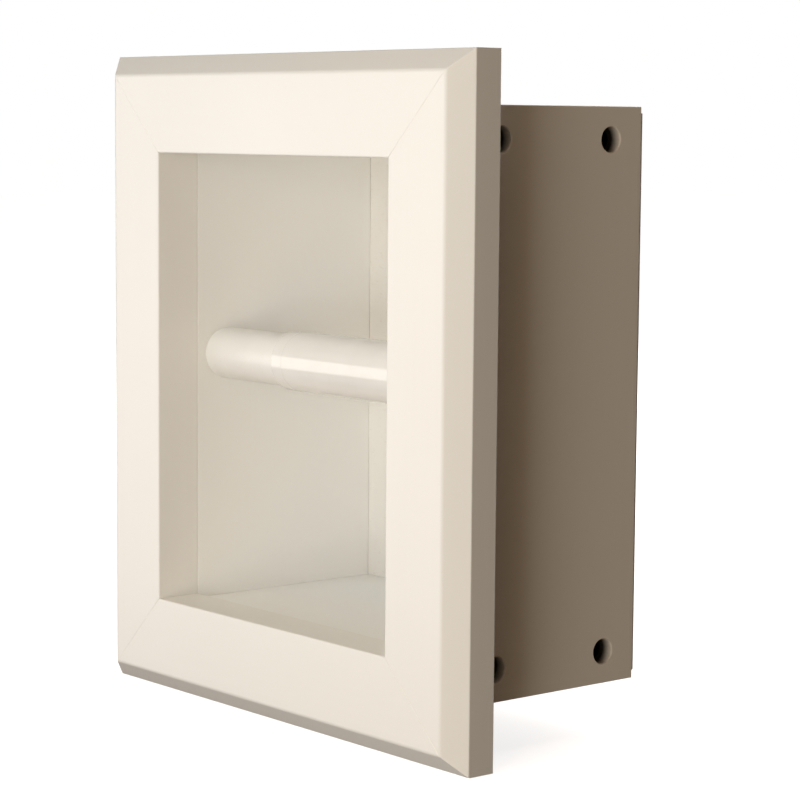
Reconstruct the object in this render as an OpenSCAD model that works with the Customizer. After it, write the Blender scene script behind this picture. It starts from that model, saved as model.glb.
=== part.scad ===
// Recessed toilet paper holder: a painted wooden box for a wall cavity, a mitred face frame
// that covers the edge of the wall opening, and a sprung two-part roller across the box.
// Axes: +X to the right, +Y into the wall, +Z up. The origin is the middle of the opening,
// in the plane of the finished wall, which is the back of the face frame.

/* [Face frame] */
// Clear width of the opening
opening_w = 142; // [132:1:180]
// Clear height of the opening
opening_h = 177.8; // [150:0.1:240]
// Width of each frame member, from the opening to the outer edge
member_w = 38.1; // [34:0.1:60]
// Thickness of the frame members
member_t = 19.05; // [15:0.05:25]
// Bevel along the outer front edge, measured across the face and down the edge
bevel = 7.5; // [3:0.1:10]

/* [Box] */
// Depth of the box boards behind the frame
box_depth = 88.9; // [74:0.1:140]
// Thickness of the box boards
board_t = 17.5; // [14.5:0.1:24]
// Step from the opening's edge to the floor and to the ceiling of the box
reveal = 1.6; // [0:0.1:6]
// Thickness of the back panel
back_t = 3.2; // [2.8:0.1:6.5]
// Distance of the back panel's edges from the box's outer faces
back_inset = 2.3; // [0.5:0.1:4]

/* [Roller] */
// Radius of the thin half, which slides into the thick half
thin_r = 10.25; // [8.5:0.01:12.5]
// Wall of the thin half
thin_wall = 1.2; // [0.8:0.1:1.5]
// Wall of the thick half
thick_wall = 0.8; // [0.8:0.05:2]
// Length of the thin half that shows when the roller is in place
thin_shown = 49.3; // [20:0.1:60]
// Length of the thin half that stays inside the thick half
overlap_l = 30; // [20:1:40]
// Height of the roller's axis above the middle of the opening
roller_rise = 9; // [-20:0.5:20]
// Distance of the roller's axis behind the wall plane
roller_setback = 10.95; // [9:0.05:25]
// Radius of the rounded edge at each closed end of the roller
end_round = 6; // [3:0.1:7]
// Radius of the end pins
pin_r = 3.25; // [2.5:0.05:4]
// Length of the end pins
pin_l = 6.5; // [4:0.1:10]

/* [Spring] */
// Outer radius of the spring's coils
spring_r = 6.6; // [5:0.1:7]
// Radius of the spring's wire
wire_r = 0.5; // [0.3:0.05:0.8]
// Number of turns in the spring
spring_turns = 18; // [12:1:26]

/* [Fasteners] */
// Length of the wood screws that hold the box's corners
screw_l = 38; // [32:1:45]
// Outer radius of the screw's thread
screw_r = 2.1; // [1.7:0.1:2.5]
// Radius of the screw's head
screw_head_r = 4.1; // [3.5:0.1:4.5]
// Radius of the counterbores in the sides
counterbore_r = 4.75; // [4.6:0.05:6]
// Depth of the counterbores
counterbore_depth = 6; // [5:0.5:8]
// Distance of the screws' axes from the inner faces of the top and bottom panels
screw_inset = 5.3; // [4.5:0.1:9]
// Distance of the rear screws from the back of the boards
rear_screw_inset = 15.65; // [12:0.05:18]
// Distance of the front screws behind the frame
front_screw_inset = 19.05; // [15:0.05:25]
// Length of the finish nails that hold the frame to the box
nail_l = 38; // [32:1:45]
// Radius of the finish nails
nail_r = 0.8; // [0.6:0.05:1]
// Radius of the finish nails' heads
nail_head_r = 1.25; // [1.1:0.05:1.5]
// Depth that the nail heads are set below the frame's face
nail_set = 1.6; // [1:0.1:3]
// Length of the staples' legs
staple_leg = 14; // [9:1:16]
// Outside width of the staples
staple_w = 6.4; // [5:0.1:9]
// Height of the V-shaped nails that close the mitres
vnail_h = 10; // [7:1:13]
// Length of each wing of the V-shaped nails
vnail_wing = 5.5; // [4:0.1:7]

/* [Clearances] */
// Radial clearance between an end pin and its socket, and between the roller's halves
running_gap = 0.1; // [0.05:0.01:0.1]
// Gap at each end of the roller, between its shoulder and the side of the box
end_gap = 0.3; // [0.2:0.05:1]
// Gap between a fastener and the wood around it
wood_gap = 0.05; // [0.02:0.01:0.1]

/* [Hidden] */
$fn = 64;

// Paint, plastic and metal colours
paint = "ivory";
inner_paint = "beige";
board_back = "tan";
white_plastic = "white";
black_steel = "dimgray";
bright_steel = "silver";
filler_white = "linen";

// Box
inner_h = opening_h + 2 * reveal;
box_w = opening_w + 2 * board_t;
box_h = inner_h + 2 * board_t;
back_y = box_depth + back_t;

// Box screws: two in each end of the top and bottom panels
screw_z = inner_h / 2 + screw_inset;
screw_ys = [front_screw_inset, box_depth - rear_screw_inset];
screw_places = [for (y = screw_ys, side = [-1, 1]) [y, side * screw_z]];
screw_head_h = 3.2;
screw_core = 0.7;
screw_pitch = 2.6;
screw_point = 6;
drive_r = 1.9;
drive_depth = 1.8;
drive_slot = 0.9;

// Finish nails, along the middle of the edges that they are driven into
nail_head_h = 1;
nail_neck_h = 1.5;
nail_point = 2.5;
nail_tip_r = 0.2;
nail_start = -member_t + nail_set;
side_nail_x = opening_w / 2 + board_t / 2;
side_nail_shares = [-0.8, -0.3, 0.3, 0.8];
side_nail_z = [for (share = side_nail_shares) share * opening_h / 2];
end_nail_z = inner_h / 2 + board_t / 2;
end_nail_shares = [-0.35, 0.35];
end_nail_x = [for (share = end_nail_shares) share * opening_w / 2];
side_nails = [for (side = [-1, 1], z = side_nail_z) [side * side_nail_x, z]];
top_nails = [for (x = end_nail_x) [x, end_nail_z]];
bottom_nails = [for (x = end_nail_x) [x, -end_nail_z]];
all_nails = concat(side_nails, top_nails, bottom_nails);

// Staples: [x, z, turn of the crown about Y]
staple_t = 1.2;
staple_side_shares = [-0.6, 0, 0.6];
staple_end_shares = [-0.55, 0.55];
staple_side_z = [for (share = staple_side_shares) share * inner_h / 2];
staple_end_x = [for (share = staple_end_shares) share * opening_w / 2];
staples = concat(
    [for (side = [-1, 1], z = staple_side_z) [side * side_nail_x, z, 90]],
    [for (side = [-1, 1], x = staple_end_x) [x, side * end_nail_z, 0]]
);

// V-shaped nails: two across each mitre, at these shares of its length from the inner corner
vnail_t = 0.6;
vnail_shares = [0.3, 0.72];
vnail_half_angle = 30;

// Roller, drawn along X and then moved to its axis
socket_depth = pin_l + 1;
wall_x = opening_w / 2;
shoulder_x = wall_x - end_gap;
mouth_x = thin_shown - wall_x;
thin_inner_x = mouth_x + overlap_l;
lip_l = 5;
mouth_taper_l = 8;
mouth_taper = 0.6;
mouth_round = 0.3;
bore_step = 0.5;
collar_l = 3;
collar_gap = 0.1;
pin_round = 0.8;
thick_bore_r = thin_r + running_gap + bore_step;
thick_r = thick_bore_r + thick_wall;
collar_r = thick_bore_r - collar_gap;
spring_side_gap = 0.6;
end_wall = 3.6;
cavity_end_x = shoulder_x - end_wall;
cavity_cone = 2.4;
shoulder_w = 0.8;
arc_step = 15;

// Spring, between the closed ends of the two halves
seat_gap = 0.05;
spring_start = -cavity_end_x + seat_gap;
spring_end = cavity_end_x - seat_gap;
coil_r = spring_r - wire_r;
closed_turns = 1;
// Pitch of the closed turns, in wire radii
closed_pitch = 2.2;
steps_per_turn = 12;
wire_sides = 6;

// Small overshoot that keeps cut faces from coinciding
over = 1;

module along_x(place_y = 0, place_z = 0) {
    translate([0, place_y, place_z])
        rotate([0, 90, 0])
            children();
}

module along_y() {
    rotate([-90, 0, 0])
        children();
}

// A frame member with its inner edge on the Z axis and its outer edge towards +X
module mitred_member(inner_length) {
    square_edge = member_t - bevel;
    intersection() {
        linear_extrude(height = inner_length + 2 * member_w, center = true)
            polygon([
                [0, 0], [member_w, 0], [member_w, -square_edge],
                [member_w - bevel, -member_t], [0, -member_t]
            ]);
        rotate([90, 0, 0])
            linear_extrude(height = member_t)
                polygon([
                    [0, -inner_length / 2], [member_w, -inner_length / 2 - member_w],
                    [member_w, inner_length / 2 + member_w], [0, inner_length / 2]
                ]);
    }
}

// Turns a member drawn towards +X to its side of the frame: 0 right, 90 top, 180 left, 270 bottom
module frame_side(turn) {
    half = (turn % 180 == 0) ? opening_w / 2 : opening_h / 2;
    rotate([0, -turn, 0])
        translate([half, 0, 0])
            children();
}

module frame_member(turn) {
    length = (turn % 180 == 0) ? opening_h : opening_w;
    color(paint)
        difference() {
            frame_side(turn)
                mitred_member(length);
            nail_holes();
            mitre_nail_slots();
        }
}

// Finish nail with a sunk head, point towards +Y, at [x, z] on the frame's face
module finish_nail(place, gap) {
    shank = nail_r + gap;
    head = nail_head_r + gap;
    translate([place.x, nail_start, place.y])
        along_y()
            rotate_extrude()
                polygon([
                    [0, -gap], [head, -gap], [head, nail_head_h], [shank, nail_neck_h],
                    [shank, nail_l - nail_point], [nail_tip_r, nail_l + gap], [0, nail_l + gap]
                ]);
}

// Plug of filler over a nail head, flush with the frame's face
module filler_plug(place) {
    translate([place.x, -member_t, place.y])
        along_y()
            cylinder(r = nail_head_r, h = nail_set - wood_gap);
}

module nail_holes() {
    for (place = all_nails) {
        finish_nail(place, wood_gap);
        translate([place.x, -member_t - over, place.y])
            along_y()
                cylinder(r = nail_head_r + wood_gap, h = nail_set + over);
    }
}

// Outline of a V-shaped nail, its point at the origin and its wings towards +Y
module vnail_outline(gap) {
    reach_x = vnail_wing * sin(vnail_half_angle);
    reach_y = vnail_wing * cos(vnail_half_angle);
    side_x = (vnail_t / 2 + gap) / cos(vnail_half_angle);
    side_y = (vnail_t / 2 + gap) / sin(vnail_half_angle);
    polygon([
        [0, -side_y], [reach_x + side_x, reach_y + gap], [reach_x - side_x, reach_y + gap],
        [0, side_y], [side_x - reach_x, reach_y + gap], [-reach_x - side_x, reach_y + gap]
    ]);
}

// V-shaped nails in the corners at one end of the frame: 1 for the top, -1 for the bottom
module mitre_nails(end, gap) {
    for (side = [-1, 1], share = vnail_shares)
        translate([
            side * (opening_w / 2 + share * member_w), 0,
            end * (opening_h / 2 + share * member_w)
        ])
            rotate([90, 0, 0])
                translate([0, 0, -gap])
                    linear_extrude(height = vnail_h + 2 * gap)
                        rotate(-45 * side * end + (end < 0 ? 180 : 0))
                            vnail_outline(gap);
}

module mitre_nail_slots() {
    mitre_nails(1, wood_gap);
    mitre_nails(-1, wood_gap);
}

module stile_left() {
    frame_member(180);
}

module stile_right() {
    frame_member(0);
}

module rail_top() {
    frame_member(90);
}

module rail_bottom() {
    frame_member(270);
}

module mitre_nails_top() {
    color(bright_steel)
        mitre_nails(1, 0);
}

module mitre_nails_bottom() {
    color(bright_steel)
        mitre_nails(-1, 0);
}

// Socket for a roller pin, in the side towards +X
module pin_socket() {
    along_x(roller_setback, roller_rise)
        translate([0, 0, wall_x - over])
            cylinder(r = pin_r + running_gap, h = socket_depth + over);
}

// Counterbore and thread hole for each box screw, in the side towards +X
module screw_holes() {
    for (place = screw_places)
        along_x(place.x, place.y) {
            translate([0, 0, box_w / 2 - counterbore_depth])
                cylinder(r = counterbore_r, h = counterbore_depth + over);
            translate([0, 0, box_w / 2 - counterbore_depth - screw_head_h])
                cylinder(r1 = screw_r + wood_gap, r2 = screw_head_r + wood_gap, h = screw_head_h);
            translate([0, 0, box_w / 2 - counterbore_depth - screw_l - wood_gap])
                cylinder(r = screw_r + wood_gap, h = screw_l);
        }
}

// Side of the box towards +X
module side_panel() {
    difference() {
        translate([wall_x, 0, -box_h / 2])
            cube([board_t, box_depth, box_h]);
        pin_socket();
        screw_holes();
        nail_holes();
        staple_slots();
    }
}

module side_panel_left() {
    color(paint)
        mirror([1, 0, 0])
            side_panel();
}

module side_panel_right() {
    color(paint)
        side_panel();
}

// Board between the sides: 1 for the top, -1 for the bottom
module end_panel(end) {
    difference() {
        translate([-wall_x, 0, end > 0 ? inner_h / 2 : -box_h / 2])
            cube([opening_w, box_depth, board_t]);
        screw_holes();
        mirror([1, 0, 0])
            screw_holes();
        nail_holes();
        staple_slots();
    }
}

module top_panel() {
    color(inner_paint)
        end_panel(1);
}

module bottom_panel() {
    color(inner_paint)
        end_panel(-1);
}

module back_panel() {
    color(board_back)
        difference() {
            translate([-box_w / 2 + back_inset, box_depth, -box_h / 2 + back_inset])
                cube([box_w - 2 * back_inset, back_t, box_h - 2 * back_inset]);
            staple_slots();
        }
}

// Wood screw along X with its head outwards at +X, ringed with thread
module box_screw() {
    thread_l = screw_l - screw_head_h - screw_point;
    turns = floor(thread_l / screw_pitch);
    thread = [for (i = [0 : turns - 1], edge = [0, 1])
        [edge == 0 ? screw_r * screw_core : screw_r, -screw_head_h - (i + edge * 0.5) * screw_pitch]];
    difference() {
        rotate_extrude()
            polygon(concat(
                [[0, 0], [screw_head_r, 0]],
                thread,
                [
                    [screw_r * screw_core, -screw_head_h - turns * screw_pitch],
                    [screw_r * screw_core, -screw_l + screw_point], [0, -screw_l]
                ]
            ));
        for (turn = [0, 90])
            rotate(turn)
                translate([-drive_r, -drive_slot / 2, -drive_depth])
                    cube([2 * drive_r, drive_slot, drive_depth + over]);
    }
}

module box_screws() {
    for (place = screw_places)
        along_x(place.x, place.y)
            translate([0, 0, box_w / 2 - counterbore_depth])
                box_screw();
}

module box_screws_left() {
    color(black_steel)
        mirror([1, 0, 0])
            box_screws();
}

module box_screws_right() {
    color(black_steel)
        box_screws();
}

module finish_nails(places) {
    color(bright_steel)
        for (place = places)
            finish_nail(place, 0);
}

module frame_nails_sides() {
    finish_nails(side_nails);
}

module frame_nails_top() {
    finish_nails(top_nails);
}

module frame_nails_bottom() {
    finish_nails(bottom_nails);
}

module nail_hole_filler() {
    color(filler_white)
        for (place = all_nails)
            filler_plug(place);
}

// Staple driven from the back, with its crown flush with the back panel
module staple(gap) {
    inner = staple_w / 2 - staple_t - gap;
    outer = staple_w / 2 + gap;
    top = back_y + gap;
    crown = back_y - staple_t - gap;
    foot = back_y - staple_leg - gap;
    translate([0, 0, -staple_t / 2 - gap])
        linear_extrude(height = staple_t + 2 * gap)
            polygon([
                [-outer, top], [-outer, foot], [-inner, foot], [-inner, crown],
                [inner, crown], [inner, foot], [outer, foot], [outer, top]
            ]);
}

module staple_row(gap) {
    for (s = staples)
        translate([s.x, 0, s.y])
            rotate([0, s.z, 0])
                staple(gap);
}

module staple_slots() {
    staple_row(wood_gap);
}

module back_panel_staples() {
    color(bright_steel)
        staple_row(0);
}

// Outline of a closed roller end and its pin, as [radius, distance], from the tube's side inwards
function end_outline(radius) = concat(
    let (round = min(end_round, radius - pin_r - shoulder_w))
    [for (a = [0 : arc_step : 90])
        [radius - round + round * cos(a), shoulder_x - round + round * sin(a)]],
    [
        [pin_r, shoulder_x], [pin_r, wall_x + pin_l - pin_round],
        [pin_r - pin_round, wall_x + pin_l], [0, wall_x + pin_l]
    ]
);

// Outline of the hollow behind a closed end, from the middle outwards
function cavity_outline(radius) =
    let (seat_r = min(spring_r + spring_side_gap, radius))
    [[0, cavity_end_x], [seat_r, cavity_end_x], [radius, cavity_end_x - cavity_cone]];

module roller_thick_half() {
    rim_r = thick_r - mouth_taper;
    lip_r = thin_r + running_gap;
    color(white_plastic)
        along_x(roller_setback, roller_rise)
            rotate_extrude()
                polygon(concat(
                    [
                        [lip_r, mouth_x], [rim_r - mouth_round, mouth_x], [rim_r, mouth_x + mouth_round],
                        [thick_r, mouth_x + mouth_taper_l]
                    ],
                    end_outline(thick_r),
                    cavity_outline(thick_bore_r),
                    [[thick_bore_r, mouth_x + lip_l + bore_step], [lip_r, mouth_x + lip_l]]
                ));
}

module roller_thin_half() {
    hollow_r = thin_r - thin_wall;
    color(white_plastic)
        along_x(roller_setback, roller_rise)
            mirror([0, 0, 1])
                rotate_extrude()
                    polygon(concat(
                        [
                            [collar_r, -thin_inner_x], [collar_r, -thin_inner_x + collar_l],
                            [thin_r, -thin_inner_x + collar_l + bore_step]
                        ],
                        end_outline(thin_r),
                        cavity_outline(hollow_r),
                        [[hollow_r, -thin_inner_x]]
                    ));
}

// Height along the spring after t turns: closed turns at both ends, an even pitch between them
function spring_rise(t) =
    let (
        span = spring_end - spring_start - 2 * wire_r,
        closed_l = closed_turns * closed_pitch * wire_r,
        open_turns = spring_turns - 2 * closed_turns,
        pitch = (span - 2 * closed_l) / open_turns
    )
    t < closed_turns ? t / closed_turns * closed_l
    : t > spring_turns - closed_turns
        ? span - (spring_turns - t) / closed_turns * closed_l
        : closed_l + (t - closed_turns) * pitch;

// Ring of wire points after t turns
function wire_ring(t) = [for (k = [0 : wire_sides - 1])
    let (around = 360 * k / wire_sides, r = coil_r + wire_r * cos(around))
    [r * cos(360 * t), r * sin(360 * t), spring_start + wire_r + spring_rise(t) + wire_r * sin(around)]];

module roller_spring() {
    rings = spring_turns * steps_per_turn;
    points = [for (i = [0 : rings]) each wire_ring(i / steps_per_turn)];
    sides = [for (i = [0 : rings - 1], k = [0 : wire_sides - 1])
        let (a = i * wire_sides + k, b = i * wire_sides + (k + 1) % wire_sides)
        each [[a, b, b + wire_sides], [a, b + wire_sides, a + wire_sides]]];
    first_end = [[for (k = [wire_sides - 1 : -1 : 0]) k]];
    last_end = [[for (k = [0 : wire_sides - 1]) rings * wire_sides + k]];
    color(bright_steel)
        along_x(roller_setback, roller_rise)
            polyhedron(points = points, faces = concat(sides, first_end, last_end), convexity = 10);
}

stile_left();
stile_right();
rail_top();
rail_bottom();
mitre_nails_top();
mitre_nails_bottom();
side_panel_left();
side_panel_right();
top_panel();
bottom_panel();
back_panel();
box_screws_left();
box_screws_right();
frame_nails_sides();
frame_nails_top();
frame_nails_bottom();
nail_hole_filler();
back_panel_staples();
roller_thick_half();
roller_thin_half();
roller_spring();
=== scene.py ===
import math

import bmesh
import bpy
from mathutils import Matrix, Vector, noise


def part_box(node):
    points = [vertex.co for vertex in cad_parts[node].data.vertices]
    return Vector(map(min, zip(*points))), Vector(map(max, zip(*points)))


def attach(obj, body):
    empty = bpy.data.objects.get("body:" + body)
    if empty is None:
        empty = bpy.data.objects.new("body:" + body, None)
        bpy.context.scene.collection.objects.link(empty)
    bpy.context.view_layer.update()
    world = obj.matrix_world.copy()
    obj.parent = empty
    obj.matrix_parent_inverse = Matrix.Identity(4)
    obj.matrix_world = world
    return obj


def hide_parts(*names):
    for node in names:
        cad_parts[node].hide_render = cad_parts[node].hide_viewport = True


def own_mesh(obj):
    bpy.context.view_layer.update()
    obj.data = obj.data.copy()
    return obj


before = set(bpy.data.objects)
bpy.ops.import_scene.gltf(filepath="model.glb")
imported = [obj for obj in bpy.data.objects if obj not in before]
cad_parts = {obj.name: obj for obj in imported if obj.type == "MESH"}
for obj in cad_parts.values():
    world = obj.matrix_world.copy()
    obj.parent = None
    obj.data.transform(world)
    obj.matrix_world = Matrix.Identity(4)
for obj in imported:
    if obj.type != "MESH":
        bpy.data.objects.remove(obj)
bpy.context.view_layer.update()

# Looks of a recessed toilet paper holder. Metres, in the frame of the CAD model:
# +X to the right, +Y into the wall, +Z up, origin in the middle of the opening.
MM = 0.001

# ---------------------------------------------------------------- sizes read from the frame

OPENING_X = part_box("stile_right")[0].x
OPENING_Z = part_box("rail_top")[0].z
MEMBER_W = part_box("stile_right")[1].x - OPENING_X
MEMBER_T = -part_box("stile_right")[0].y
FLOOR_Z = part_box("rail_bottom")[0].z
THICK_LOW, THICK_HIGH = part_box("roller_thick_half")
THIN_LOW, THIN_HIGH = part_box("roller_thin_half")
ROLLER_Y = (THICK_LOW.y + THICK_HIGH.y) / 2
ROLLER_Z = (THICK_LOW.z + THICK_HIGH.z) / 2

# ---------------------------------------------------------------- sizes of the details

# Face frame
BEVEL = 7.5 * MM
BACK_ROUND = 0.35 * MM
EDGE_ROUND = 0.9 * MM
FACE_ROUND = 2.2 * MM
OPENING_ROUND = 0.7 * MM
PROFILE_STEP = 5 * MM
STATION_STEP = 6 * MM
WAVE_HEIGHT = 0.035 * MM
WAVE_LENGTH = 26 * MM
MITRE_GROOVE_W = 0.16 * MM
MITRE_GROOVE_DEPTH = 0.14 * MM

# Box boards
BOARD_EASE = 0.35 * MM
JOINT_LINE = 0.04 * MM
PANEL_EASE = 0.4 * MM
EASE_STEPS = 3
COUNTERBORE_R = 4.75 * MM
COUNTERBORE_DEPTH = 6 * MM
COUNTERBORE_LIP = 0.3 * MM
LIP_STEPS = 4
# Depth over which the wood inside a counterbore is painted darker, as painted shade
SHADE_DEPTH = 4.8 * MM
SOCKET_R = 3.35 * MM
SOCKET_DEPTH = 7.5 * MM
HOLE_SIDES = 48
OVERCUT = 1 * MM
BACK_SINK = 0.25 * MM

# Roller
PIN_R = 3.25 * MM
PIN_L = 6.5 * MM
PIN_ROUND = 0.8 * MM
PIN_ROOT = 0.2 * MM
END_GAP = 0.3 * MM
END_ROUND = 6 * MM
SHOULDER_FLAT = 0.8 * MM
THICK_WALL = 0.8 * MM
THIN_WALL = 1.2 * MM
COLLAR_L = 3 * MM
COLLAR_STEP = 0.5 * MM
COLLAR_ROUND = 0.25 * MM
END_WALL = 3.6 * MM
SPRING_SEAT_R = 7.2 * MM
CAVITY_TAPER_L = 2.4 * MM
MOUTH_TAPER_L = 8 * MM
MOUTH_TAPER = 0.15 * MM
MOUTH_ROUND = 0.45 * MM
MOUTH_BAND_L = 6.2 * MM
CREASE_W = 0.35 * MM
CREASE_DROP = 0.04 * MM
CREASE_DEPTH = 0.13 * MM
LIP_L = 5 * MM
LIP_WALL = 0.95 * MM
LIP_STEP_L = 0.5 * MM
TURNED_SIDES = 128

# Spring
WIRE_R = 0.5 * MM
SPRING_TURNS = 18
SPRING_STEPS = 24
WIRE_SIDES = 10
CLOSED_PITCH = 1.1 * MM

# Fasteners
SCREW_HEAD_R = 4.1 * MM
SCREW_HEAD_H = 3.2 * MM
SCREW_RIM_ROUND = 0.15 * MM
SCREW_RIM_H = 0.35 * MM
SCREW_FLARE = 1.8
SCREW_FLARE_STEPS = 8
SCREW_R = 2.1 * MM
SCREW_CORE_R = 1.45 * MM
SCREW_PITCH = 2.6 * MM
SCREW_L = 38 * MM
SCREW_POINT = 6 * MM
SCREW_SIDES = 24
THREAD_STEPS = 10
THREAD_SHARPNESS = 5
RECESS_R = 1.9 * MM
RECESS_DEPTH = 1.8 * MM
RECESS_SLOT = 0.9 * MM
RECESS_TAPER = 0.35
STAPLE_W = 6.4 * MM
STAPLE_T = 1.2 * MM
STAPLE_FILL = 0.98
STAPLE_BEND = 1 * MM
STAPLE_L = 14 * MM
PLUG_RISE = 0.015 * MM
PLUG_SIDES = 32

# Paint and surfaces
NOISE_LOW = 0.3
NOISE_HIGH = 0.7
FIGURE_DEPTH = 0.05 * MM
BRUSH_DEPTH = 0.02 * MM
PEEL_DEPTH = 0.02 * MM
DUST_DEPTH = 0.05 * MM
DUST_R = 0.35 * MM
DUST_PER_METRE = 95
DUST_SHARE = 0.12
DUST_TINT = 0.04
PAINT_GLOSS_RANGE = 0.02
BARE_FIBRE_DEPTH = 0.1 * MM
PANEL_FIBRE_DEPTH = 0.03 * MM
THIN_SPOT_TINT = 0.35
FLOW_DEPTH = 0.012 * MM
FINE_DEPTH = 0.0015 * MM
PLASTIC_GLOSS_RANGE = 0.03
DRAWN_DEPTH = 0.01 * MM

# ---------------------------------------------------------------- mesh tools


def link(mesh, name):
    """Puts a mesh into the scene as a new object."""
    made = bpy.data.objects.new(name, mesh)
    bpy.context.scene.collection.objects.link(made)
    return made


def to_mesh(bm, name):
    """Mesh from a bmesh, with its faces turned outwards."""
    bmesh.ops.recalc_face_normals(bm, faces=bm.faces)
    mesh = bpy.data.meshes.new(name)
    bm.to_mesh(mesh)
    bm.free()
    return mesh


def smooth(made, sharp_angle):
    """Smooth shading that stays flat on the flats and crisp at the sharp edges."""
    made.data.shade_smooth()
    made.data.set_sharp_from_angle(angle=math.radians(sharp_angle))
    normals = made.modifiers.new("weighted_normals", "WEIGHTED_NORMAL")
    normals.keep_sharp = True
    return made


def piece_of(bm, node, sharp_angle=35):
    """Smooth object for a CAD node, from a bmesh."""
    name = node + "_piece"
    return smooth(link(to_mesh(bm, name), name), sharp_angle)


def fillet(corners, radii, steps=6):
    """Closed outline with every corner rounded to its own radius."""
    outline = []
    for i, corner in enumerate(corners):
        here = Vector(corner)
        before = (Vector(corners[i - 1]) - here).normalized()
        after = (Vector(corners[(i + 1) % len(corners)]) - here).normalized()
        if radii[i] == 0:
            outline.append(here)
            continue
        half = before.angle(after) / 2
        centre = here + (before + after).normalized() * radii[i] / math.sin(half)
        start = here + before * radii[i] / math.tan(half) - centre
        end = here + after * radii[i] / math.tan(half) - centre
        for k in range(steps + 1):
            outline.append(centre + start.slerp(end, k / steps).normalized() * radii[i])
    return outline


def divide(outline, longest):
    """Closed outline with its long runs cut into shorter ones."""
    points = []
    for i, here in enumerate(outline):
        there = outline[(i + 1) % len(outline)]
        count = max(1, round((there - here).length / longest))
        points.extend(here.lerp(there, k / count) for k in range(count))
    return points


def outward(outline):
    """Outward direction at each point of a closed outline that runs anticlockwise."""
    directions = []
    for i in range(len(outline)):
        along = outline[(i + 1) % len(outline)] - outline[i - 1]
        directions.append(Vector((along.y, -along.x)).normalized())
    return directions


def skin_rings(bm, rings):
    """Joins equal rings of vertices with quads, and caps the first and the last ring."""
    rows = [[bm.verts.new(point) for point in ring] for ring in rings]
    for low, high in zip(rows, rows[1:]):
        for k in range(len(low)):
            after = (k + 1) % len(low)
            bm.faces.new((low[k], low[after], high[after], high[k]))
    bm.faces.new(rows[0][::-1])
    bm.faces.new(rows[-1])


def lathe(bm, outline, sides, place=Matrix.Identity(4)):
    """Solid turned about X from (distance, radius) points that start and end on the axis."""
    rows = []
    for distance, radius in outline:
        if radius == 0:
            rows.append([bm.verts.new(place @ Vector((distance, 0, 0)))])
            continue
        angles = [2 * math.pi * k / sides for k in range(sides)]
        rows.append([
            bm.verts.new(place @ Vector((distance, radius * math.cos(a), radius * math.sin(a))))
            for a in angles
        ])
    for low, high in zip(rows, rows[1:]):
        for k in range(sides):
            after = (k + 1) % sides
            if len(low) == 1:
                bm.faces.new((low[0], high[after], high[k]))
            elif len(high) == 1:
                bm.faces.new((low[k], low[after], high[0]))
            else:
                bm.faces.new((low[k], low[after], high[after], high[k]))


def sweep(bm, path, section, up):
    """Sweeps a closed section along a path of points that all lie square to up."""
    rings = []
    for i, point in enumerate(path):
        before = path[max(i - 1, 0)]
        after = path[min(i + 1, len(path) - 1)]
        along = (after - before).normalized()
        side = along.cross(up).normalized()
        rings.append([point + side * s.x + up * s.y for s in section])
    skin_rings(bm, rings)


def carve(made, cutter_bm):
    """Cuts a bmesh away from an object's mesh."""
    cutter = link(to_mesh(cutter_bm, "cutter"), "cutter")
    cut = made.modifiers.new("cut", "BOOLEAN")
    cut.operation = "DIFFERENCE"
    cut.solver = "EXACT"
    cut.object = cutter
    bpy.context.view_layer.update()
    graph = bpy.context.evaluated_depsgraph_get()
    made.data = bpy.data.meshes.new_from_object(made.evaluated_get(graph))
    made.modifiers.clear()
    bpy.data.objects.remove(cutter)


def solid_boxes(node):
    """Lowest and highest corner of each separate solid in a CAD node."""
    bm = bmesh.new()
    bm.from_mesh(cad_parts[node].data)
    bmesh.ops.remove_doubles(bm, verts=bm.verts, dist=1e-6)
    left = set(bm.verts)
    boxes = []
    while left:
        reached = [left.pop()]
        for vert in reached:
            near = [edge.other_vert(vert) for edge in vert.link_edges]
            fresh = [other for other in near if other in left]
            left.difference_update(fresh)
            reached.extend(fresh)
        places = [vert.co for vert in reached]
        low = Vector([min(p[axis] for p in places) for axis in range(3)])
        high = Vector([max(p[axis] for p in places) for axis in range(3)])
        boxes.append((low, high))
    bm.free()
    return sorted(boxes, key=lambda pair: tuple(round(v, 5) for v in pair[0]))


def wave(point):
    """How far a painted board's surface dips at a point: 0 to twice WAVE_HEIGHT."""
    return WAVE_HEIGHT * (1 + noise.noise(point / WAVE_LENGTH))


def finish_piece(made, material, node, body):
    """Gives a piece its material and body, and lets it stand for its CAD node."""
    made.data.materials.clear()
    made.data.materials.append(material)
    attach(made, body)
    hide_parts(node)
    return made


# ---------------------------------------------------------------- material tools


def add(tree, kind, settings=None, **inputs):
    """New shader node. An input is a number, a colour or another node's output socket."""
    made = tree.nodes.new(kind)
    for key, value in (settings or {}).items():
        setattr(made, key, value)
    for key, value in inputs.items():
        socket = made.inputs[key.replace("_", " ")]
        if isinstance(value, bpy.types.NodeSocket):
            tree.links.new(value, socket)
        else:
            socket.default_value = value
    return made


def new_material(name, **constants):
    """Material with one Principled shader. The constants are set on the shader's own sockets."""
    material = bpy.data.materials.new(name)
    material.use_nodes = True
    tree = material.node_tree
    shader = tree.nodes["Principled BSDF"]
    for key, value in constants.items():
        shader.inputs[key.replace("_", " ")].default_value = value
    return material, tree, shader


def object_place(tree, stretch=(1, 1, 1)):
    """Object coordinates in metres, stretched along the axes."""
    place = add(tree, "ShaderNodeTexCoord").outputs["Object"]
    return add(tree, "ShaderNodeMapping", Vector=place, Scale=stretch).outputs["Vector"]


def grain(tree, stretch, detail=4.0, roughness=0.55):
    """Noise from 0 to 1, with one stretch per axis, in cycles per metre."""
    return add(
        tree, "ShaderNodeTexNoise", Vector=object_place(tree, stretch), Scale=1.0,
        Detail=detail, Roughness=roughness,
    ).outputs["Fac"]


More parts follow.
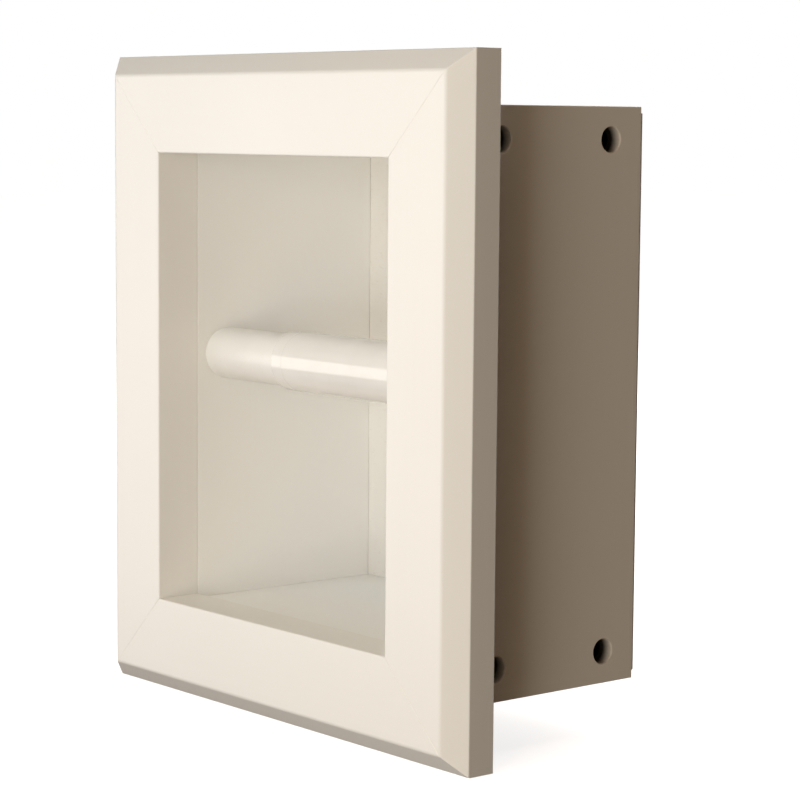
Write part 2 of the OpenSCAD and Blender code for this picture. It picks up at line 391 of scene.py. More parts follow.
def remap(tree, value, low, high, to_low=0.0, to_high=1.0):
    """Maps low to high on to another range, and holds what lies outside at its ends."""
    return add(
        tree, "ShaderNodeMapRange", Value=value, From_Min=low, From_Max=high,
        To_Min=to_low, To_Max=to_high,
    ).outputs["Result"]


def blend_colours(tree, factor, first, second, mode="MIX"):
    """First colour at factor 0, second at factor 1."""
    mixer = tree.nodes.new("ShaderNodeMix")
    mixer.data_type = "RGBA"
    mixer.blend_type = mode
    for index, value in ((0, factor), (6, first), (7, second)):
        if isinstance(value, bpy.types.NodeSocket):
            tree.links.new(value, mixer.inputs[index])
        else:
            mixer.inputs[index].default_value = value
    return mixer.outputs[2]


def combine(tree, operation, first, second):
    """Result of a Math node."""
    made = add(tree, "ShaderNodeMath", {"operation": operation})
    for index, value in enumerate((first, second)):
        if isinstance(value, bpy.types.NodeSocket):
            tree.links.new(value, made.inputs[index])
        else:
            made.inputs[index].default_value = value
    return made.outputs[0]


def spread(tree, noise_value, to_low=0.0, to_high=1.0):
    """Maps the range that a noise mostly keeps to on to another range."""
    return remap(tree, noise_value, NOISE_LOW, NOISE_HIGH, to_low, to_high)


def object_axis(tree, name):
    """Distance from the origin along one axis, in either direction."""
    place = add(tree, "ShaderNodeTexCoord").outputs["Object"]
    along = add(tree, "ShaderNodeSeparateXYZ", Vector=place).outputs[name]
    return combine(tree, "ABSOLUTE", along, 0)


def bump(tree, height, depth, under=None):
    """Normal from a height of 0 to 1 that stands for a depth in metres."""
    made = add(tree, "ShaderNodeBump", Height=height, Distance=depth, Strength=1.0)
    if under is not None:
        tree.links.new(under, made.inputs["Normal"])
    return made.outputs["Normal"]


def specks(tree, per_metre, radius, share):
    """1 inside small round specks, 0 outside; share is the part of the cells that has one."""
    cells = add(
        tree, "ShaderNodeTexVoronoi", Vector=object_place(tree), Scale=per_metre, Randomness=1.0,
    )
    edge = radius * per_metre
    dot = remap(tree, cells.outputs["Distance"], edge, edge * 0.3)
    chosen = add(tree, "ShaderNodeSeparateColor", Color=cells.outputs["Color"]).outputs["Red"]
    kept = combine(tree, "LESS_THAN", chosen, share)
    return combine(tree, "MULTIPLY", dot, kept)


def stretch_along(axis, along, across):
    """Cycles per metre for marks that run along one axis."""
    return tuple(along if name == axis else across for name in "XYZ")


# ---------------------------------------------------------------- materials

FRAME_WHITE = (0.895, 0.875, 0.835, 1)
FRAME_WARM = (0.884, 0.862, 0.82, 1)
BOX_WHITE = (0.955, 0.95, 0.928, 1)
BOX_WARM = (0.943, 0.936, 0.91, 1)
# Warmer, darker tint for painted shade on the outside of the box
OUTSIDE_SHADE = (0.955, 0.905, 0.84, 1)
DUST = (0.35, 0.33, 0.3, 1)
BACK_WHITE = (0.88, 0.86, 0.82, 1)
BACK_WARM = (0.862, 0.84, 0.795, 1)
BACK_FIBRE = (0.66, 0.6, 0.5, 1)
BARE_WOOD = (0.8, 0.74, 0.66, 1)
BARE_FIBRE = (0.62, 0.56, 0.48, 1)
# Near-black painted shade at the bottom of the counterbores
BORE_SHADE = (0.03, 0.027, 0.024, 1)
PLASTIC_WHITE = (0.92, 0.9, 0.86, 1)
PLASTIC_WARM = (0.895, 0.875, 0.835, 1)

# Inner and outer half width and half height of the box
BOX_WALLS = (
    (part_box("side_panel_right")[0].x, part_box("top_panel")[0].z),
    (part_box("side_panel_right")[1].x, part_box("top_panel")[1].z),
)


def shade_outside(tree, colour, inner, outer):
    """Painted shade: a warmer, darker tone outside the box, whose walls lie between two pairs of |x| and
    |z|.
    """
    sideways = remap(tree, object_axis(tree, "X"), inner[0], outer[0])
    upwards = remap(tree, object_axis(tree, "Z"), inner[1], outer[1])
    outside = combine(tree, "MAXIMUM", sideways, upwards)
    shaded = blend_colours(tree, 1.0, colour, OUTSIDE_SHADE, "MULTIPLY")
    return blend_colours(tree, outside, colour, shaded)


def painted_wood(name, axis, white, warm, roughness, marks, walls=None):
    """Brushed off-white paint on pine: brush marks and a ghost of the grain run along the axis."""
    material, tree, shader = new_material(name, IOR=1.5, Specular_IOR_Level=0.5)
    cloud = grain(tree, (14, 14, 14), detail=3.0)
    brush = grain(tree, stretch_along(axis, 9, 420), detail=3.0)
    figure = grain(tree, stretch_along(axis, 5, 95), detail=2.0, roughness=0.4)
    peel = grain(tree, (350, 350, 350), detail=2.0)
    dust = specks(tree, DUST_PER_METRE, DUST_R, DUST_SHARE)
    tone = combine(tree, "MULTIPLY", spread(tree, cloud), remap(tree, brush, 0.2, 0.8))
    colour = blend_colours(tree, tone, white, warm)
    darker = blend_colours(tree, DUST_TINT, colour, DUST)
    colour = blend_colours(tree, dust, colour, darker)
    # Painted shade on the outside of the box, when its walls are given
    if walls is not None:
        colour = shade_outside(tree, colour, *walls)
    tree.links.new(colour, shader.inputs["Base Color"])
    smoothest = roughness - PAINT_GLOSS_RANGE
    roughest = roughness + PAINT_GLOSS_RANGE
    gloss = remap(tree, cloud, 0.25, 0.75, smoothest, roughest)
    tree.links.new(gloss, shader.inputs["Roughness"])
    normal = bump(tree, figure, FIGURE_DEPTH * marks)
    normal = bump(tree, brush, BRUSH_DEPTH * marks, normal)
    normal = bump(tree, peel, PEEL_DEPTH, normal)
    normal = bump(tree, dust, DUST_DEPTH, normal)
    tree.links.new(normal, shader.inputs["Normal"])
    return material


def bore_wood_and_shade(name, face):
    """Bare wood inside a drilled hole, with painted shade that darkens it to near-black towards the bottom.
    The hole starts at |x| = face.
    """
    material, tree, shader = new_material(name, IOR=1.45, Specular_IOR_Level=0.2)
    near = remap(tree, object_axis(tree, "X"), face - SHADE_DEPTH, face)
    fibre = grain(tree, (300, 300, 1600), detail=4.0)
    light = blend_colours(tree, fibre, BARE_WOOD, BARE_FIBRE)
    # Painted shade: the wood darkens to near-black towards the bottom of the hole
    tree.links.new(blend_colours(tree, near, BORE_SHADE, light), shader.inputs["Base Color"])
    tree.links.new(spread(tree, fibre, 0.7, 0.9), shader.inputs["Roughness"])
    tree.links.new(bump(tree, fibre, BARE_FIBRE_DEPTH), shader.inputs["Normal"])
    return material


def painted_panel(name):
    """Thin panel under one coat of the same paint, with a fine fibre texture."""
    material, tree, shader = new_material(name, IOR=1.5, Specular_IOR_Level=0.4)
    cloud = grain(tree, (18, 18, 18), detail=4.0)
    fibre = grain(tree, (260, 260, 700), detail=5.0, roughness=0.65)
    colour = blend_colours(tree, spread(tree, cloud), BACK_WHITE, BACK_WARM)
    thin_spots = combine(tree, "MULTIPLY", remap(tree, fibre, 0.58, 0.75), THIN_SPOT_TINT)
    colour = blend_colours(tree, thin_spots, colour, BACK_FIBRE)
    tree.links.new(colour, shader.inputs["Base Color"])
    tree.links.new(spread(tree, fibre, 0.5, 0.66), shader.inputs["Roughness"])
    tree.links.new(bump(tree, fibre, PANEL_FIBRE_DEPTH), shader.inputs["Normal"])
    return material


def moulded_plastic(name, roughness):
    """Moulded white plastic with faint flow marks along the tube."""
    material, tree, shader = new_material(name, IOR=1.49, Specular_IOR_Level=0.5)
    flow = grain(tree, (12, 160, 160), detail=3.0)
    cloud = grain(tree, (60, 60, 60), detail=2.0)
    fine = grain(tree, (1400, 1400, 1400), detail=2.0)
    colour = blend_colours(tree, remap(tree, cloud, 0.35, 0.65), PLASTIC_WHITE, PLASTIC_WARM)
    tree.links.new(colour, shader.inputs["Base Color"])
    gloss = spread(tree, flow, roughness - PLASTIC_GLOSS_RANGE, roughness + PLASTIC_GLOSS_RANGE)
    tree.links.new(gloss, shader.inputs["Roughness"])
    normal = bump(tree, flow, FLOW_DEPTH)
    normal = bump(tree, fine, FINE_DEPTH, normal)
    tree.links.new(normal, shader.inputs["Normal"])
    return material


def steel(name, light, dark, metallic, smoothest, roughest, stretch):
    """Dull or blackened steel with drawing marks and small stains."""
    material, tree, shader = new_material(name, Metallic=metallic)
    marks = grain(tree, stretch, detail=4.0)
    stain = grain(tree, (500, 500, 500), detail=4.0)
    colour = blend_colours(tree, remap(tree, stain, 0.35, 0.65), light, dark)
    tree.links.new(colour, shader.inputs["Base Color"])
    tree.links.new(spread(tree, marks, smoothest, roughest), shader.inputs["Roughness"])
    tree.links.new(bump(tree, marks, DRAWN_DEPTH), shader.inputs["Normal"])
    return material


STILE_PAINT = painted_wood("stile_paint", "Z", FRAME_WHITE, FRAME_WARM, roughness=0.33, marks=0.2)
RAIL_PAINT = painted_wood("rail_paint", "X", FRAME_WHITE, FRAME_WARM, roughness=0.33, marks=0.2)
SIDE_PAINT = painted_wood(
    "side_paint", "Z", BOX_WHITE, BOX_WARM, roughness=0.5, marks=0.6, walls=BOX_WALLS,
)
END_PAINT = painted_wood(
    "end_paint", "X", BOX_WHITE, BOX_WARM, roughness=0.5, marks=0.6, walls=BOX_WALLS,
)
BACK_PAINT = painted_panel("back_paint")
BORE_WOOD_AND_SHADE = bore_wood_and_shade("bore_wood_and_shade", face=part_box("side_panel_right")[1].x)
GLOSSY_PLASTIC = moulded_plastic("glossy_plastic", roughness=0.1)
SATIN_PLASTIC = moulded_plastic("satin_plastic", roughness=0.38)
BLACK_STEEL = steel(
    "black_steel", (0.03, 0.03, 0.032, 1), (0.012, 0.012, 0.012, 1), metallic=0.35,
    smoothest=0.35, roughest=0.55, stretch=(600, 600, 600),
)
BRIGHT_STEEL = steel(
    "bright_steel", (0.78, 0.77, 0.75, 1), (0.62, 0.61, 0.59, 1), metallic=0.6,
    smoothest=0.4, roughest=0.6, stretch=(1500, 300, 1500),
)
SPRING_STEEL = steel(
    "spring_steel", (0.6, 0.6, 0.6, 1), (0.45, 0.45, 0.46, 1), metallic=1.0,
    smoothest=0.2, roughest=0.35, stretch=(2000, 2000, 2000),
)

# ---------------------------------------------------------------- face frame


def member_outline():
    """Section of a frame member: x from the opening outwards, y from the wall towards the room."""
    corners = [
        (0, 0), (MEMBER_W, 0),
        (MEMBER_W, MEMBER_T - BEVEL), (MEMBER_W - BEVEL, MEMBER_T), (0, MEMBER_T),
    ]
    radii = [BACK_ROUND, BACK_ROUND, EDGE_ROUND, FACE_ROUND, OPENING_ROUND]
    return divide(fillet(corners, radii), PROFILE_STEP)


def stations(half_length):
    """Places along a member, from -1 to 1, each with its dip. The ends dip into the mitre's hairline."""
    count = 2 * round(half_length / STATION_STEP)
    reach = 1 - MITRE_GROOVE_W / half_length
    between = [(reach * (2 * i / count - 1), 0) for i in range(count + 1)]
    return [(-1, MITRE_GROOVE_DEPTH)] + between + [(1, MITRE_GROOVE_DEPTH)]


def frame_member(node, turn, material):
    """Mitred member. turn is 0 at the right, 90 at the top, 180 at the left and 270 at the bottom."""
    upright = turn % 180 == 0
    across = OPENING_X if upright else OPENING_Z
    half_length = OPENING_Z if upright else OPENING_X
    outline = member_outline()
    directions = outward(outline)
    place = Matrix.Rotation(-math.radians(turn), 4, "Y")
    rings = []
    for share, dip in stations(half_length):
        ring = []
        for point, direction in zip(outline, directions):
            spot = place @ Vector((across + point.x, -point.y, share * (half_length + point.x)))
            out = place @ Vector((direction.x, -direction.y, 0))
            # The hairline is only as deep as the surface faces the room
            sunk = dip * max(direction.y, 0) + wave(spot)
            ring.append(spot - out * sunk)
        rings.append(ring)
    bm = bmesh.new()
    skin_rings(bm, rings)
    return finish_piece(piece_of(bm, node), material, node, "niche")


def nail_plugs():
    """Sanded filler over the sunk nails, painted with the frame. Each plug's face is a very low dome."""
    dome = [(0, 0), (0.1, 0.5), (0.3, 0.8), (0.7, 0.95), (1, 1)]
    bm = bmesh.new()
    for low, high in solid_boxes("nail_hole_filler"):
        radius = (high.x - low.x) / 2
        middle = (low + high) / 2
        face = low.y + wave(Vector((middle.x, low.y, middle.z))) - PLUG_RISE
        profile = [(drop * PLUG_RISE, radius * reach) for drop, reach in dome]
        profile += [(high.y - face, radius), (high.y - face, 0)]
        turned = Matrix.Rotation(math.radians(90), 4, "Z")
        lathe(bm, profile, PLUG_SIDES, Matrix.Translation((middle.x, face, middle.z)) @ turned)
    made = piece_of(bm, "nail_hole_filler")
    return finish_piece(made, STILE_PAINT, "nail_hole_filler", "niche")


# ---------------------------------------------------------------- box


def eased_block(low, high, ease):
    """Block with its edges rounded, as a bmesh."""
    bm = bmesh.new()
    bmesh.ops.create_cube(bm, size=1)
    bmesh.ops.scale(bm, vec=high - low, verts=bm.verts)
    bmesh.ops.translate(bm, vec=(low + high) / 2, verts=bm.verts)
    bmesh.ops.bevel(
        bm, geom=bm.edges[:], offset=ease, segments=EASE_STEPS, profile=0.5, affect="EDGES",
    )
    return bm


def counterbore_cutter(bm, side, y, z, face):
    """Cutter with a softened lip for the counterbore in the outer face of a side."""
    rim = COUNTERBORE_R + COUNTERBORE_LIP
    outline = [(OVERCUT, 0), (OVERCUT, rim), (0, rim)]
    for k in range(1, LIP_STEPS + 1):
        drop = COUNTERBORE_LIP * math.sin(math.radians(90 * k / LIP_STEPS))
        outline.append((-drop, rim - drop))
    outline += [(-COUNTERBORE_DEPTH, COUNTERBORE_R), (-COUNTERBORE_DEPTH, 0)]
    outline = [(side * distance, radius) for distance, radius in outline]
    lathe(bm, outline, HOLE_SIDES, Matrix.Translation((face, y, z)))


def socket_cutter(bm, side, inner):
    """Cutter for the blind socket of the roller's pin in the inner face of a side."""
    outline = [(-OVERCUT, 0), (-OVERCUT, SOCKET_R), (SOCKET_DEPTH, SOCKET_R), (SOCKET_DEPTH, 0)]
    outline = [(side * distance, radius) for distance, radius in outline]
    lathe(bm, outline, HOLE_SIDES, Matrix.Translation((inner, ROLLER_Y, ROLLER_Z)))


def board_box(node):
    """Corners of a box board, a hair short of the frame and of the back panel."""
    low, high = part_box(node)
    low.y += JOINT_LINE
    high.y -= JOINT_LINE
    return low, high


def darken_bores(made, axes, outer):
    """Puts the bored wood with its painted shade on the faces inside the counterbores, whose axes are (y,
    z) pairs.
    """
    made.data.materials.append(BORE_WOOD_AND_SHADE)
    # A little more than the depth, so that the bore's floor counts as inside
    deepest = COUNTERBORE_DEPTH * 1.01
    for face in made.data.polygons:
        reach = min(math.hypot(face.center.y - y, face.center.z - z) for y, z in axes)
        depth = abs(face.center.x - outer)
        if reach < COUNTERBORE_R + COUNTERBORE_LIP and depth < deepest:
            face.material_index = 1


def side_board(node, screws, side):
    """Side of the box. side is 1 at the right and -1 at the left."""
    low, high = board_box(node)
    outer = high.x if side > 0 else low.x
    inner = low.x if side > 0 else high.x
    middles = [(screw_low + screw_high) / 2 for screw_low, screw_high in solid_boxes(screws)]
    axes = [(middle.y, middle.z) for middle in middles]
    cutter = bmesh.new()
    for y, z in axes:
        counterbore_cutter(cutter, side, y, z, outer)
    socket_cutter(cutter, side, inner)
    made = link(to_mesh(eased_block(low, high, BOARD_EASE), node + "_piece"), node + "_piece")
    carve(made, cutter)
    finish_piece(smooth(made, 35), SIDE_PAINT, node, "niche")
    darken_bores(made, axes, outer)
    return made


def end_board(node):
    """Top or bottom of the box."""
    low, high = board_box(node)
    made = piece_of(eased_block(low, high, BOARD_EASE), node)
    return finish_piece(made, END_PAINT, node, "niche")


def back_sheet():
    """Thin back panel, a little short of its staples' crowns."""
    low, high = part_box("back_panel")
    high.y -= BACK_SINK
    made = piece_of(eased_block(low, high, PANEL_EASE), "back_panel")
    return finish_piece(made, BACK_PAINT, "back_panel", "niche")


# ---------------------------------------------------------------- roller


def arc(centre, radius, first, last, steps):
    """Points (distance, radius) on an arc, with its angles in degrees from the X direction."""
    points = []
    for k in range(steps + 1):
        turn = math.radians(first + (last - first) * k / steps)
        points.append((centre[0] + radius * math.cos(turn), centre[1] + radius * math.sin(turn)))
    return points


def closed_end(tip, radius):
    """Outline of a closed end: pin, shoulder and rounded edge. The tip is at +X."""
    shoulder = tip - PIN_L - END_GAP
    round_r = min(END_ROUND, radius - PIN_R - SHOULDER_FLAT)
    pin = [(tip, 0)] + arc((tip - PIN_ROUND, PIN_R - PIN_ROUND), PIN_ROUND, 0, 90, 6)
    root = arc((shoulder + PIN_ROOT, PIN_R + PIN_ROOT), PIN_ROOT, 270, 180, 3)
    edge = arc((shoulder - round_r, radius - round_r), round_r, 0, 90, 16)
    return pin + root + edge


def cavity(tip, radius):
    """Outline of the hollow behind a closed end, from the bore's wall to the axis."""
    end = tip - PIN_L - END_GAP - END_WALL
    seat = min(SPRING_SEAT_R, radius)
    return [(end - CAVITY_TAPER_L, radius), (end, seat), (end, 0)]


def rounded_rim(x, inner, outer, round_r):
    """Outline of a rim that faces -X, from its outside to its inside."""
    outside = arc((x + round_r, outer - round_r), round_r, 90, 180, 5)
    inside = arc((x + round_r, inner + round_r), round_r, 180, 270, 5)
    return outside + inside


def thick_half():
    """Glossy outer half. Its mouth narrows a little and has a fine crease round it."""
    radius = (THICK_HIGH.z - THICK_LOW.z) / 2
    mouth = THICK_LOW.x
    bore = radius - THICK_WALL
    rim = radius - MOUTH_TAPER
    lip = rim - LIP_WALL
    creased = radius - CREASE_DROP
    crease = mouth + MOUTH_BAND_L
    outline = closed_end(THICK_HIGH.x, radius)
    outline += [
        (mouth + MOUTH_TAPER_L, radius), (crease + CREASE_W, creased),
        (crease, creased - CREASE_DEPTH), (crease - CREASE_W, creased),
    ]
    outline += rounded_rim(mouth, lip, rim, MOUTH_ROUND)
    outline += [(mouth + LIP_L, lip), (mouth + LIP_L + LIP_STEP_L, bore)]
    outline += cavity(THICK_HIGH.x, bore)
    bm = bmesh.new()
    lathe(bm, outline, TURNED_SIDES, Matrix.Translation((0, ROLLER_Y, ROLLER_Z)))
    made = piece_of(bm, "roller_thick_half")
    return finish_piece(made, GLOSSY_PLASTIC, "roller_thick_half", "roller")


def thin_half():
    """Satin inner half, with a collar that guides it. It is drawn with its tip at +X, then turned round."""
    collar = (THIN_HIGH.z - THIN_LOW.z) / 2
    radius = collar - COLLAR_STEP
    hollow = radius - THIN_WALL
    mouth = -THIN_HIGH.x
    tip = -THIN_LOW.x
    outline = closed_end(tip, radius)
    outline += [(mouth + COLLAR_L + COLLAR_STEP, radius), (mouth + COLLAR_L, collar)]
    outline += rounded_rim(mouth, hollow, collar, COLLAR_ROUND)
    outline += cavity(tip, hollow)
    bm = bmesh.new()
    place = Matrix.Translation((0, ROLLER_Y, ROLLER_Z)) @ Matrix.Rotation(math.pi, 4, "Z")
    lathe(bm, outline, TURNED_SIDES, place)
    made = piece_of(bm, "roller_thin_half")
    return finish_piece(made, SATIN_PLASTIC, "roller_thin_half", "plunger")


def coil_spring():
    """Round wire wound with closed turns at both ends."""
    low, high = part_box("roller_spring")
    coil_r = (high.z - low.z) / 2 - WIRE_R
    span = high.x - low.x - 2 * WIRE_R
    open_pitch = (span - 2 * CLOSED_PITCH) / (SPRING_TURNS - 2)
    section = [2 * math.pi * k / WIRE_SIDES for k in range(WIRE_SIDES)]
    rings = []
    for i in range(SPRING_TURNS * SPRING_STEPS + 1):
        t = i / SPRING_STEPS
        closed = min(t, 1) + min(max(t - SPRING_TURNS + 1, 0), 1)
        x = low.x + WIRE_R + closed * CLOSED_PITCH + (t - closed) * open_pitch
        turn = 2 * math.pi * t
        out = Vector((0, math.cos(turn), math.sin(turn)))
        middle = Vector((x, ROLLER_Y, ROLLER_Z)) + out * coil_r
        rings.append([
            middle + out * WIRE_R * math.cos(a) + Vector((WIRE_R * math.sin(a), 0, 0)) for a in section
        ])
    bm = bmesh.new()
    skin_rings(bm, rings)
    made = piece_of(bm, "roller_spring", 60)
    finish_piece(made, SPRING_STEEL, "roller_spring", "roller")
    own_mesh(made)
    return made


# ---------------------------------------------------------------- fasteners


def screw_rings():
    """Rings from the head's rim to the point. Each holds one (x, radius) pair for each side."""
    rings = [
        [(0, SCREW_HEAD_R - SCREW_RIM_ROUND)] * SCREW_SIDES,
        [(-SCREW_RIM_ROUND, SCREW_HEAD_R)] * SCREW_SIDES,
    ]
    for k in range(1, SCREW_FLARE_STEPS + 1):
        share = k / SCREW_FLARE_STEPS
        flare = (1 - share) ** SCREW_FLARE
        x = -SCREW_RIM_H - (SCREW_HEAD_H - SCREW_RIM_H) * share
        rings.append([(x, SCREW_CORE_R + (SCREW_HEAD_R - SCREW_CORE_R) * flare)] * SCREW_SIDES)
    length = SCREW_L - SCREW_HEAD_H
    steps = round(length / SCREW_PITCH * THREAD_STEPS)
    for i in range(1, steps):
        x = -SCREW_HEAD_H - length * i / steps
        taper = min(1, (SCREW_L + x) / SCREW_POINT)
        ring = []
        for k in range(SCREW_SIDES):
            phase = (-x / SCREW_PITCH + k / SCREW_SIDES) % 1
            ridge = max(0, 1 - abs(phase - 0.5) * THREAD_SHARPNESS)
            ring.append((x, (SCREW_CORE_R + (SCREW_R - SCREW_CORE_R) * ridge) * taper))
        rings.append(ring)
    return rings


def screw_mesh():
    """Bugle-headed wood screw along X: its head's top at 0, its point at -SCREW_L."""
    turns = [2 * math.pi * k / SCREW_SIDES for k in range(SCREW_SIDES)]
    bm = bmesh.new()
    centre = bm.verts.new((0, 0, 0))
    rows = []
    for ring in screw_rings():
        rows.append([
            bm.verts.new((x, radius * math.cos(turn), radius * math.sin(turn)))
            for turn, (x, radius) in zip(turns, ring)
        ])
    point = bm.verts.new((-SCREW_L, 0, 0))
    for k in range(SCREW_SIDES):
        after = (k + 1) % SCREW_SIDES
        bm.faces.new((centre, rows[0][k], rows[0][after]))
        bm.faces.new((point, rows[-1][after], rows[-1][k]))
        for low, high in zip(rows, rows[1:]):
            bm.faces.new((low[k], high[k], high[after], low[after]))
    return to_mesh(bm, "screw")


def cut_recess(made):
    """Cross recess that narrows towards its bottom."""
    for turn in (0, 90):
        place = Matrix.Rotation(math.radians(turn), 4, "X")
        rings = []
        for depth, share in ((-OVERCUT / 2, 1.0), (0, 1.0), (RECESS_DEPTH, RECESS_TAPER)):
            half_l = RECESS_R * share
            half_w = RECESS_SLOT / 2 * (0.5 + share / 2)
            corners = ((-half_l, -half_w), (half_l, -half_w), (half_l, half_w), (-half_l, half_w))
            rings.append([place @ Vector((-depth, a, b)) for a, b in corners])
        bar = bmesh.new()
        skin_rings(bar, rings)
        carve(made, bar)


def box_screws(node, side):
    """Four screws as one piece, each with its own turn of the recess."""
    first_turn = 15
    next_turn = 37
    master = link(screw_mesh(), "screw_master")
    cut_recess(master)
    bm = bmesh.new()
    for number, (low, high) in enumerate(solid_boxes(node)):
        middle = (low + high) / 2
        top = high.x if side > 0 else low.x
        turned = Matrix.Rotation(math.radians(first_turn + next_turn * number), 4, "X")
        face = Matrix.Identity(4) if side > 0 else Matrix.Rotation(math.pi, 4, "Z")
        copy = master.data.copy()
        copy.transform(Matrix.Translation((top, middle.y, middle.z)) @ face @ turned)
        bm.from_mesh(copy)
    bpy.data.objects.remove(master)
    made = piece_of(bm, node, 40)
    return finish_piece(made, BLACK_STEEL, node, "niche")


def staple_pieces():
    """Wire staples with round bends; their crowns stand a little proud of the back panel."""
    square = [(-0.5, -0.5), (0.5, -0.5), (0.5, 0.5), (-0.5, 0.5)]
    section = [point * STAPLE_T * STAPLE_FILL for point in fillet(square, [0.25] * 4, steps=3)]
    reach = STAPLE_W / 2 - STAPLE_T / 2
    crown = -STAPLE_T / 2
    bends = fillet(
        [(-reach, -STAPLE_L), (-reach, crown), (reach, crown), (reach, -STAPLE_L)],
        [0, STAPLE_BEND, STAPLE_BEND, 0], steps=6,
    )
    bm = bmesh.new()
    for low, high in solid_boxes("back_panel_staples"):
        middle = (low + high) / 2
        level = high.x - low.x > high.z - low.z
        turn = Matrix.Identity(4) if level else Matrix.Rotation(math.radians(90), 4, "Y")
        place = Matrix.Translation((middle.x, high.y, middle.z)) @ turn
        path = [place @ Vector((p.x, p.y, 0)) for p in bends]
        sweep(bm, path, section, (turn @ Vector((0, 0, 1))).normalized())
    made = piece_of(bm, "back_panel_staples")
    return finish_piece(made, BRIGHT_STEEL, "back_panel_staples", "niche")


# ---------------------------------------------------------------- stage

CAMERA_AIM = Vector((0.0055, 0.0421, -0.006))
CAMERA_AZIMUTH = math.radians(50.18)
CAMERA_ELEVATION = math.radians(6.13)
CAMERA_ROLL = math.radians(0.45)
CAMERA_DISTANCE = 0.9917
CAMERA_LENS = 114.48
CAMERA_SENSOR = 36
FLOOR_HALF = 6
FLOOR_GLOW_START = 0.15
FLOOR_GLOW_END = 0.6
FLOOR_GLOW = (0.8, 1.0)
FAR = 1.5
NEAR = 0.7

# Soft lights: name, azimuth and elevation in degrees, width, height, distance, power in watts, colour
SOFTBOXES = [
    ("right_softbox", 22, 0, 0.8, 0.8, FAR, 10.6, (1, 0.99, 0.945)),
    ("left_softbox", -52, -1.5, 0.8, 0.7, FAR, 5.4, (1, 0.93, 0.885)),
    ("front_fill", -25, 0, 0.8, 0.8, FAR, 2.1, (0.93, 0.9, 1)),
    ("warm_ceiling", 0, 70, 0.8, 0.8, FAR, 3.4, (1, 0.7, 0.35)),
    ("warm_side", 60, 0, 0.8, 0.8, FAR, 1.5, (1, 0.83, 0.54)),
    ("low_fill", 30, -25, 0.8, 0.8, FAR, 3.5, (1, 0.83, 0.62)),
    ("rear_softbox", -165, 25, 1.2, 1.2, FAR, 16, (1, 0.96, 0.92)),
    ("near_right", 30, 30, 0.4, 0.4, NEAR, 0.37, (1, 0.59, 0.25)),
    ("near_top", 0, 40, 0.4, 0.4, NEAR, 0.95, (0.5, 0.76, 0.9)),
]
# This one gives no reflection, which would wash out the bevel on its side
MATT_SOFTBOX = "right_softbox"


def from_front(azimuth, elevation):
    """Direction from the object, 0 azimuth towards the room and growing to the right."""
    return Vector((
        math.sin(azimuth) * math.cos(elevation),
        -math.cos(azimuth) * math.cos(elevation),
        math.sin(elevation),
    ))


def looking_back(towards):
    """Turn that makes a camera or light look from a direction back along it, with +Z up."""
    right = Vector((0, 0, 1)).cross(towards).normalized()
    up = towards.cross(right)
    return Matrix((right, up, towards)).transposed().to_4x4()


def add_camera():
    """Long lens at the height of the object, from its right."""
    data = bpy.data.cameras.new("camera")
    data.lens = CAMERA_LENS
    data.sensor_width = CAMERA_SENSOR
    data.clip_start = 0.01
    camera = bpy.data.objects.new("camera", data)
    bpy.context.scene.collection.objects.link(camera)
    towards = from_front(CAMERA_AZIMUTH, CAMERA_ELEVATION)
    camera.matrix_world = (
        Matrix.Translation(CAMERA_AIM + towards * CAMERA_DISTANCE)
        @ looking_back(towards)
        @ Matrix.Rotation(CAMERA_ROLL, 4, "Z")
    )
    bpy.context.scene.camera = camera


def add_light(name, azimuth, elevation, width, height, distance, power, colour):
    """Softbox that faces the object."""
    data = bpy.data.lights.new(name, "AREA")
    data.shape = "RECTANGLE"
    data.size = width
    data.size_y = height
    data.energy = power
    data.color = colour
    light = bpy.data.objects.new(name, data)
    bpy.context.scene.collection.objects.link(light)
    towards = from_front(math.radians(azimuth), math.radians(elevation))
    light.matrix_world = Matrix.Translation(towards * distance) @ looking_back(towards)
    light.visible_camera = False
    light.visible_glossy = name != MATT_SOFTBOX


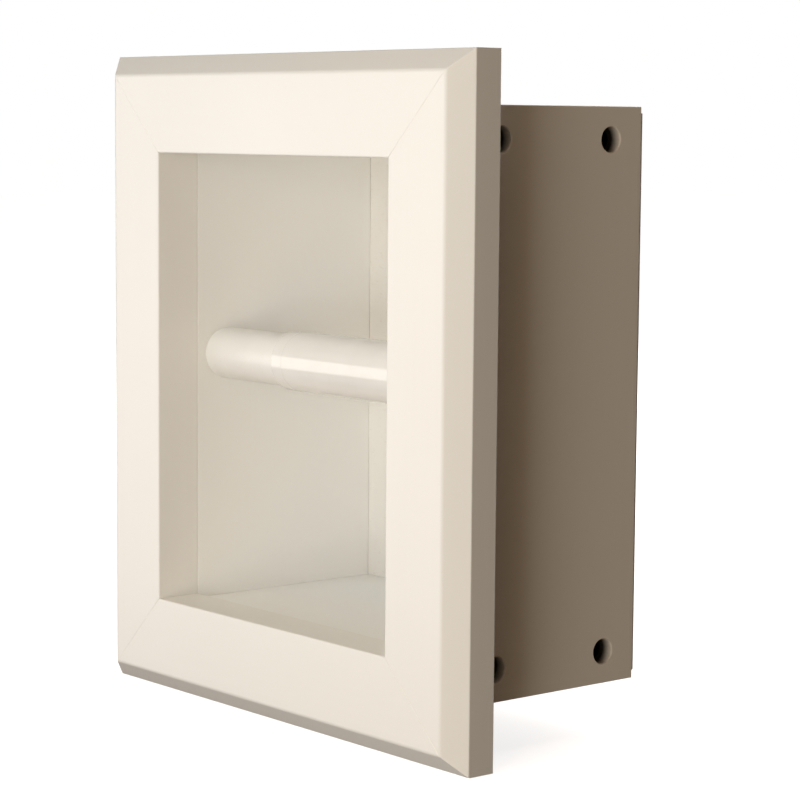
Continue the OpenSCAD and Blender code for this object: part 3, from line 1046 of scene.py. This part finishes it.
def add_floor():
    """Pale floor that glows to white away from the soft shadow under the object."""
    bm = bmesh.new()
    bmesh.ops.create_grid(bm, x_segments=1, y_segments=1, size=FLOOR_HALF)
    floor = link(to_mesh(bm, "floor"), "floor")
    floor.location.z = FLOOR_Z
    material, tree, shader = new_material("floor_paint", Roughness=0.9)
    tone = grain(tree, (3, 3, 3), detail=2.0)
    colour = blend_colours(tree, tone, (0.85, 0.85, 0.84, 1), (0.82, 0.82, 0.81, 1))
    tree.links.new(colour, shader.inputs["Base Color"])
    shader.inputs["Emission Color"].default_value = (1, 1, 1, 1)
    place = add(tree, "ShaderNodeTexCoord").outputs["Object"]
    reach = add(tree, "ShaderNodeVectorMath", {"operation": "LENGTH"}, Vector=place).outputs["Value"]
    glow = remap(tree, reach, FLOOR_GLOW_START, FLOOR_GLOW_END, *FLOOR_GLOW)
    tree.links.new(glow, shader.inputs["Emission Strength"])
    floor.data.materials.append(material)
    floor.visible_diffuse = False
    floor.visible_glossy = False
    floor.visible_shadow = False


def add_world():
    """Dim even light on the object, and white behind it."""
    world = bpy.data.worlds.new("studio")
    bpy.context.scene.world = world
    world.use_nodes = True
    tree = world.node_tree
    tree.nodes.clear()
    seen = add(tree, "ShaderNodeBackground", Color=(1, 1, 1, 1), Strength=1.0)
    lit = add(tree, "ShaderNodeBackground", Color=(1, 0.3, 0.15, 1), Strength=0.02)
    path = add(tree, "ShaderNodeLightPath")
    mixer = tree.nodes.new("ShaderNodeMixShader")
    tree.links.new(path.outputs["Is Camera Ray"], mixer.inputs[0])
    tree.links.new(lit.outputs[0], mixer.inputs[1])
    tree.links.new(seen.outputs[0], mixer.inputs[2])
    output = tree.nodes.new("ShaderNodeOutputWorld")
    tree.links.new(mixer.outputs[0], output.inputs["Surface"])


def add_stage():
    """Camera, floor, world and lights."""
    bpy.context.scene.view_settings.view_transform = "Standard"
    add_camera()
    add_floor()
    add_world()
    for settings in SOFTBOXES:
        add_light(*settings)


# ---------------------------------------------------------------- the object

frame_member("stile_right", 0, STILE_PAINT)
frame_member("rail_top", 90, RAIL_PAINT)
frame_member("stile_left", 180, STILE_PAINT)
frame_member("rail_bottom", 270, RAIL_PAINT)
nail_plugs()
side_board("side_panel_left", "box_screws_left", -1)
side_board("side_panel_right", "box_screws_right", 1)
end_board("top_panel")
end_board("bottom_panel")
back_sheet()
thick_half()
thin_half()
coil_spring()
box_screws("box_screws_left", -1)
box_screws("box_screws_right", 1)
staple_pieces()

KEPT_NAILS = [
    "mitre_nails_top", "mitre_nails_bottom", "frame_nails_sides", "frame_nails_top", "frame_nails_bottom",
]
for kept in KEPT_NAILS:
    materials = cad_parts[kept].data.materials
    materials.clear()
    materials.append(BRIGHT_STEEL)

add_stage()
